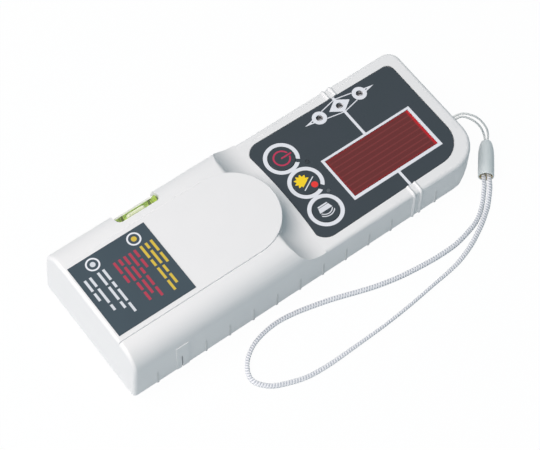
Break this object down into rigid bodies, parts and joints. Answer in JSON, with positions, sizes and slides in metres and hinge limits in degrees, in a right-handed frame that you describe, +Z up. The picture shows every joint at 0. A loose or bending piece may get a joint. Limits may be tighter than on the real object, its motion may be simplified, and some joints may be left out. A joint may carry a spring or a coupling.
{
  "type": "laser receiver",
  "caption": "Hand-held laser line receiver with a thick grip, a thinner sensor head with red window and keys, a bubble vial, a battery bay and a wrist strap.",
  "frame": {"origin": "on the back face that it lies on, in the middle of the case's length and width", "axes": "+X across the case towards the side that the strap lies on, +Y along the case towards the sensor head's nose, +Z up out of the face with the keys"},
  "size_m": [0.0891, 0.1714, 0.0257],
  "materials": {
    "case_plastic": "fine satin moulded plastic",
    "door_plastic": "fine satin moulded plastic",
    "film": "satin printed film",
    "window_red": "clear dark red filter",
    "black_plastic": "matt black",
    "board_green": "solder mask",
    "chip_black": "matt moulded",
    "switch_metal": "plated",
    "led_lens": "clear tinted lens",
    "pipe_lens": "smoked lens",
    "sounder_brass": "thin stamped case",
    "key_film": "satin printed key",
    "vial_clear": "clear acrylic",
    "spirit": "coloured liquid",
    "bubble_air": "air",
    "label_film": "satin printed plate",
    "battery_skin": "plain wrap",
    "contact_metal": "plated",
    "lead_insulation": "insulated wire",
    "insert_brass": "turned",
    "screw_steel": "zinc plated",
    "string_fibre": "thin braided string",
    "ferrule_plastic": "smooth moulded",
    "cord_fibre": "braided cord"
  },
  "bodies": {
    "receiver": {"front_case": "case_plastic", "rear_case": "case_plastic", "overlay_film": "film", "sensor_window": "window_red", "sensor_shield": "black_plastic", "photodiodes": "chip_black", "main_board": "board_green", "controller_chip": "chip_black", "tact_switches": "switch_metal", "indicator_leds": "led_lens", "status_pipes": "pipe_lens", "piezo_sounder": "sounder_brass", "vial_tube": "vial_clear", "vial_plugs": "vial_clear", "vial_spirit": "spirit", "label_plate": "label_film", "battery": "battery_skin", "battery_terminals": "contact_metal", "battery_contacts": "contact_metal", "battery_leads": "lead_insulation", "threaded_insert": "insert_brass", "case_screws": "screw_steel", "board_screws": "screw_steel", "strap_pin": "screw_steel", "strap_string": "string_fibre", "strap_ferrule": "ferrule_plastic", "strap_cord": "cord_fibre"},
    "power_key": {"button_power": "key_film"},
    "mode_key": {"button_mode": "key_film"},
    "sound_key": {"button_sound": "key_film"},
    "door": {"battery_door": "door_plastic"},
    "level_bubble": {"bubble": "bubble_air"}
  },
  "joints": [
    {"name": "power_press", "type": "slide", "parent": "receiver", "child": "power_key", "axis": [0, 0, -1], "range_m": [0, 0.0005], "stiffness_N_per_m": 400},
    {"name": "mode_press", "type": "slide", "parent": "receiver", "child": "mode_key", "axis": [0, 0, -1], "range_m": [0, 0.0005], "stiffness_N_per_m": 400},
    {"name": "sound_press", "type": "slide", "parent": "receiver", "child": "sound_key", "axis": [0, 0, -1], "range_m": [0, 0.0005], "stiffness_N_per_m": 400},
    {"name": "door_hinge", "type": "hinge", "parent": "receiver", "child": "door", "pos_m": [0, -0.00985, 0.00125], "axis": [1, 0, 0], "range_deg": [0, 80]},
    {"name": "bubble_slide", "type": "slide", "parent": "receiver", "child": "level_bubble", "axis": [0, 1, 0], "range_m": [-0.003, 0.003]}
  ]
}
